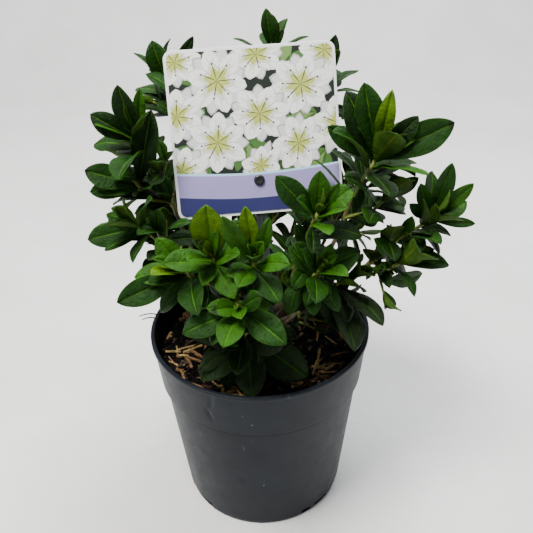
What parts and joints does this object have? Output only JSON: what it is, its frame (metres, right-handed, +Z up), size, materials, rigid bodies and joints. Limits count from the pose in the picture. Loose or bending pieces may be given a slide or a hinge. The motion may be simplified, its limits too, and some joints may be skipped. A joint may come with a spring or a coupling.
{
  "type": "potted azalea shrub",
  "caption": "Bushy evergreen azalea in a round plastic nursery pot, its boughs ending in rosettes of glossy leaves, with a plain picture card on a flat peg.",
  "frame": {"origin": "centre of the pot's flat underside", "axes": "+Z up along the pot's axis, the plant's front and its card face -Y, +X to the right of whoever reads the card"},
  "size_m": [0.2733, 0.2521, 0.3775],
  "materials": {
    "pot": "satin, lightly scuffed",
    "compost": "rough and moist, with paler chips of bark",
    "bark": "matte, finely ridged",
    "foliage": "glossy above, paler and matte below",
    "card": "semi-gloss print",
    "peg": "satin",
    "pin": "satin"
  },
  "bodies": {
    "root": {"pot": "pot", "soil": "compost", "trunk": "bark", "label_card": "card", "label_peg": "peg", "label_pin": "pin", "bough_front": "bark", "foliage_front": "foliage", "bough_front_right": "bark", "foliage_front_right": "foliage", "bough_front_skirt": "bark", "foliage_front_skirt": "foliage", "bough_right_skirt": "bark", "foliage_right_skirt": "foliage", "bough_right_tall": "bark", "foliage_right_tall": "foliage", "bough_right_outer": "bark", "foliage_right_outer": "foliage", "bough_left_upper": "bark", "foliage_left_upper": "foliage", "bough_left_lower": "bark", "foliage_left_lower": "foliage", "bough_back_left_tall": "bark", "foliage_back_left_tall": "foliage", "bough_top": "bark", "foliage_top": "foliage", "bough_back_right_tall": "bark", "foliage_back_right_tall": "foliage", "bough_back": "bark", "foliage_back": "foliage", "bough_back_left": "bark", "foliage_back_left": "foliage", "bough_back_right": "bark", "foliage_back_right": "foliage"}
  },
  "joints": []
}
